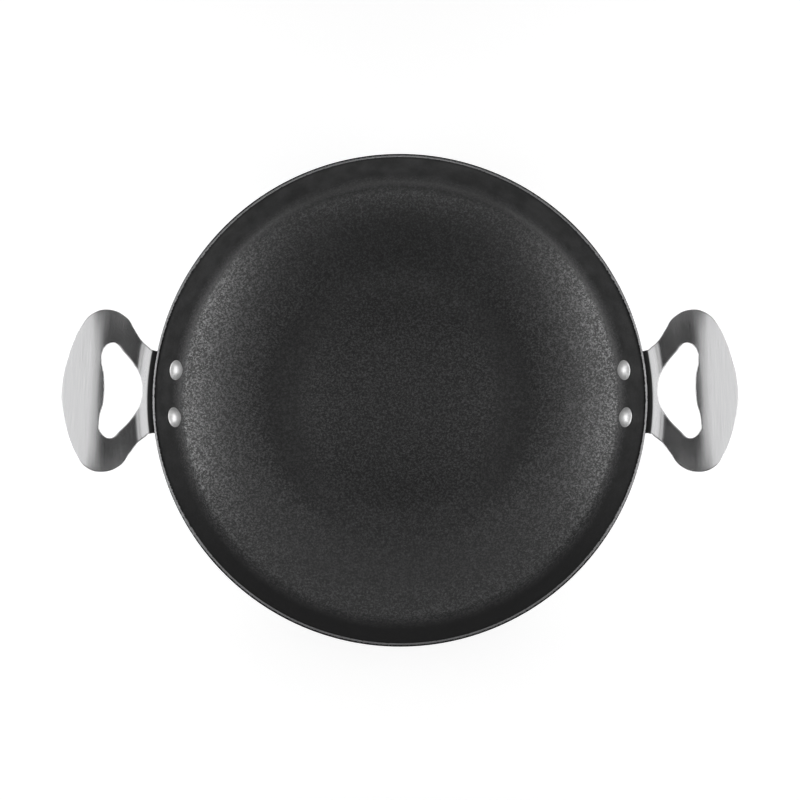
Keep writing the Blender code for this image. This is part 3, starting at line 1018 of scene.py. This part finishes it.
def brushed_steel():
    finish, shader, _ = new_finish("brushed_steel", STEEL, 1.0, 0.2)
    sheet = add_node(finish, "ShaderNodeUVMap", {}, uv_map="flat_sheet").outputs["UV"]
    fine = noise(finish, sheet, 0.22 * MM / UV_SPAN, 2, (1, 90, 1))
    broad = noise(finish, sheet, 1.1 * MM / UV_SPAN, 2, (1, 40, 1))
    smudge = noise(finish, sheet, 16 * MM / UV_SPAN, 3)
    mixed = [times(finish, fine, FINE_SHARE), times(finish, broad, 1 - FINE_SHARE)]
    streak = combine(finish, "ADD", *mixed)
    sheen = blend(finish, remap(finish, streak, *NOISE_MIDDLE), DARK_STREAK, LIGHT_STREAK)
    along_sheet = axes(finish, sheet)[0]
    past_crease = remap(finish, along_sheet, *AT_CREASE)
    on_plate = remap(finish, along_sheet, *PLATE_TOP, 1, 0)
    bright = combine(finish, "MAXIMUM", past_crease, on_plate)
    # Painted shade: between the plate and the crease the sheet is painted dark instead of steel.
    feed(finish, shader, "Base Color", blend(finish, bright, SHADE_STRIP_STEEL, sheen))
    feed(finish, shader, "Metallic", bright)
    rough = remap(finish, streak, *NOISE_MIDDLE, 0.17, 0.20)
    rough = combine(finish, "ADD", rough, remap(finish, smudge, 0.35, 0.7, 0, 0.03))
    rough = combine(finish, "ADD", rough, remap(finish, bright, 0, 1, SHADE_STRIP_ROUGHER, 0))
    feed(finish, shader, "Roughness", rough)
    shader.inputs["Anisotropic"].default_value = 0.5
    settings = {"direction_type": "UV_MAP", "uv_map": "flat_sheet"}
    along = add_node(finish, "ShaderNodeTangent", {}, **settings)
    feed(finish, shader, "Tangent", along.outputs["Tangent"])
    bump(finish, shader, fine, 0.006 * MM, 0.2)
    return finish


steel_finish = brushed_steel()
print("crease", round(1000 * CREASE, 1), "mm along the sheet")

# %% [markdown]
# ## Grained metals
#
# Three more metals differ only in their numbers: the dark, rough edge that the stamping leaves,
# the bright satin of the rivet heads inside the pan, and the duller driven heads outside. Each
# has a grain that varies its tone and roughness and gives it small dents, so one helper makes
# all three. The thin straight edge of an inner rivet head takes the dark edge finish too, which
# paints a fine line of shade round it.

# %% Stamped edge and rivet metal
def grained_metal(name, base, tones, roughness, grain, depth, strength):
    """A metal from (colour, metallic, roughness), two tones, a roughness range and a grain."""
    finish, shader, where = new_finish(name, *base)
    marks = noise(finish, where, *grain)
    feed(finish, shader, "Base Color", blend(finish, remap(finish, marks, *NOISE_MIDDLE), *tones))
    feed(finish, shader, "Roughness", remap(finish, marks, *NOISE_MOST, *roughness))
    bump(finish, shader, marks, depth, strength)
    return finish


edge_finish = grained_metal(
    "punched_edge",
    base=((0.10, 0.10, 0.10), 0.8, 0.5),
    tones=((0.07, 0.07, 0.07), (0.15, 0.15, 0.15)),
    roughness=(0.42, 0.6),
    grain=(0.7 * MM, 3, (1, 1, 4)),
    depth=0.03 * MM,
    strength=0.5,
)
rivet_finish = grained_metal(
    "bright_aluminium",
    base=((0.93, 0.93, 0.93), 0.6, 0.45),
    tones=((0.90, 0.90, 0.90), (0.97, 0.97, 0.97)),
    roughness=(0.40, 0.52),
    grain=(1.6 * MM, 3),
    depth=0.05 * MM,
    strength=0.6,
)
driven_finish = grained_metal(
    "driven_aluminium",
    base=((0.32, 0.32, 0.32), 0.9, 0.55),
    tones=((0.26, 0.26, 0.26), (0.38, 0.38, 0.38)),
    roughness=(0.5, 0.62),
    grain=(1.2 * MM, 3),
    depth=0.08 * MM,
    strength=0.6,
)
for handle in handles:
    handle.data.materials.clear()
    for finish in (steel_finish, edge_finish):
        handle.data.materials.append(finish)
for rivet in rivets:
    rivet.data.materials.clear()
    for finish in (rivet_finish, edge_finish, driven_finish):
        rivet.data.materials.append(finish)
print(f"{steel_finish.name} on {len(handles)} handles, {rivet_finish.name} on {len(rivets)} rivets")

# %% [markdown]
# ## The floor
#
# The pan stands on a plain white floor. Its own colour takes the pan's soft shadow, and a part
# of its white is emission that only the camera, gloss and glass see, so the background is
# white without any more light falling on the pan.

# %% Floor
FLOOR_SIZE = 3.4
FLOOR_DROP = 0.1 * MM
FLOOR_DIFFUSE = 0.5
FLOOR_GLOW = 0.72


def seen_directly(finish):
    """1 for rays from the camera, from gloss or through glass, otherwise 0."""
    ray = add_node(finish, "ShaderNodeLightPath", {}).outputs
    seen = combine(finish, "MAXIMUM", ray["Is Camera Ray"], ray["Is Glossy Ray"])
    return combine(finish, "MAXIMUM", seen, ray["Is Transmission Ray"])


bpy.ops.object.select_all(action="DESELECT")
bpy.ops.mesh.primitive_plane_add(size=FLOOR_SIZE, location=(0, 0, -FLOOR_DROP))
floor = bpy.context.object
floor.name = "studio_floor"
white, white_shader, _ = new_finish("white_floor", (FLOOR_DIFFUSE,) * 3, 0.0, 0.9)
white_shader.inputs["Specular IOR Level"].default_value = 0.0
white_shader.inputs["Emission Color"].default_value = (1, 1, 1, 1)
feed(white, white_shader, "Emission Strength", times(white, seen_directly(white), FLOOR_GLOW))
floor.data.materials.append(white)
print("floor", FLOOR_SIZE, "m wide")

# %% [markdown]
# ## The world
#
# The studio's walls are pale low down and its ceiling is dark, so the world's light fades with
# height. Steel mirrors that dark ceiling, as it would in a studio. Only the camera sees plain
# white instead.

# %% World
WALL_LIGHT = 0.4
CEILING_LIGHT = 0.03
WALL_TO_CEILING = (0.05, 0.22)
world = bpy.data.worlds.new("studio")
bpy.context.scene.world = world
world.use_nodes = True
background = world.node_tree.nodes["Background"]
background.inputs["Color"].default_value = (1, 1, 1, 1)
height = axes(world, add_node(world, "ShaderNodeTexCoord", {}).outputs["Generated"])[2]
fade = remap(world, height, *WALL_TO_CEILING, WALL_LIGHT, CEILING_LIGHT)
fade.node.interpolation_type = "SMOOTHSTEP"
seen = add_node(world, "ShaderNodeLightPath", {}).outputs["Is Camera Ray"]
choose = add_node(world, "ShaderNodeMix", {"Factor": seen, "A": fade, "B": 1.0})
feed(world, background, "Strength", choose.outputs["Result"])
print("world from", WALL_LIGHT, "at the walls to", CEILING_LIGHT, "overhead")

# %% [markdown]
# ## The lamps
#
# Large softboxes stand low round the pan: two at each side, one in front, and weak ones behind
# and at the two back corners. They rake across the bowl and light its far slopes. Three narrow
# strips hang in a row above each handle, brighter the further out they are, and the flat steel
# mirrors them. A small weak lamp hangs above the camera. The rest of the ceiling is dark, and
# the handles' arms mirror that.

# %% Softboxes
LEVEL = 1.3
MIDDLE = (0, 0, 0.03)
STRIP_HEIGHT = 0.25
STRIP_LENGTH = 0.23


def softbox(name, centre, aim, size, radiance):
    """An area lamp that faces aim and gives off this radiance all over."""
    lamp = bpy.data.lights.new(name, "AREA")
    lamp.shape = "RECTANGLE"
    lamp.size, lamp.size_y = size
    lamp.energy = radiance * math.pi * size[0] * size[1]
    holder = bpy.data.objects.new(name, lamp)
    bpy.context.collection.objects.link(holder)
    facing = (Vector(aim) - Vector(centre)).to_track_quat("-Z", "Y")
    holder.matrix_world = Matrix.Translation(centre) @ facing.to_matrix().to_4x4()
    holder.visible_camera = False
    return holder


def on_dome(azimuth, elevation, distance=2.0):
    """A point this far from the pan, in a direction given in degrees."""
    a, e = math.radians(azimuth), math.radians(elevation)
    flat = distance * math.cos(e)
    return (flat * math.cos(a), flat * math.sin(a), distance * math.sin(e))


# Each side lamp: its name, degrees towards the back, degrees up, size in metres, radiance.
SIDE_LAMPS = [
    ("side_back", 17, 20, (0.83, 0.70), 3.1),
    ("side_front", -21, 18, (0.95, 0.85), 2.9),
    ("corner", 47.5, 40, (0.70, 1.40), 0.4),
]
# Each strip above a handle: its name, where it starts and ends along X, radiance.
HANDLE_STRIPS = [
    ("handle_inner", 0.090, 0.146, 0.14),
    ("handle_main", 0.146, 0.300, 0.89),
    ("handle_outer", 0.300, 0.395, 3.6),
]
for side, heading, sign in (("right", 0, 1), ("left", 180, -1)):
    for name, turn, up, size, radiance in SIDE_LAMPS:
        centre = on_dome(heading + sign * turn, up)
        softbox(f"{name}_{side}", centre, MIDDLE, size, radiance * LEVEL)
    for name, low, high, radiance in HANDLE_STRIPS:
        at = sign * (low + high) / 2
        size = (high - low, STRIP_LENGTH)
        softbox(f"{name}_{side}", (at, 0, STRIP_HEIGHT), (at, 0, 0), size, radiance * LEVEL)
softbox("front", on_dome(-90, 7.5), MIDDLE, (2.0, 0.5), 4.1 * LEVEL)
softbox("back", on_dome(90, 35), MIDDLE, (1.9, 1.1), 0.42 * LEVEL)
softbox("overhead", (0, 0.05, 0.62), (0, 0.05, 0), (0.17, 0.20), 0.6 * LEVEL)

# %% [markdown]
# ## The camera
#
# The pan is photographed from almost straight above, a little from the front, and close
# enough for the handles to spread outwards in perspective. The camera tilts by a few degrees,
# and a small shift keeps the pan in the middle of the picture.

# %% Camera
TILT = math.radians(5.8)
ABOVE_RIM = 0.400
view = bpy.data.cameras.new("camera")
view.sensor_width = 36
view.lens = 29.72
view.shift_y = -0.0114
view.clip_start = 0.001
camera = bpy.data.objects.new("camera", view)
bpy.context.collection.objects.link(camera)
camera.location = (0, -ABOVE_RIM * math.sin(TILT), PAN_HEIGHT + ABOVE_RIM * math.cos(TILT))
camera.rotation_euler = (TILT, 0, 0)
bpy.context.scene.camera = camera
bpy.context.scene.view_settings.view_transform = "Standard"
print("camera at", [round(c, 3) for c in camera.location])

# %% [markdown]
# ## The last update
#
# The view layer is updated once more at the end.

bpy.context.view_layer.update()
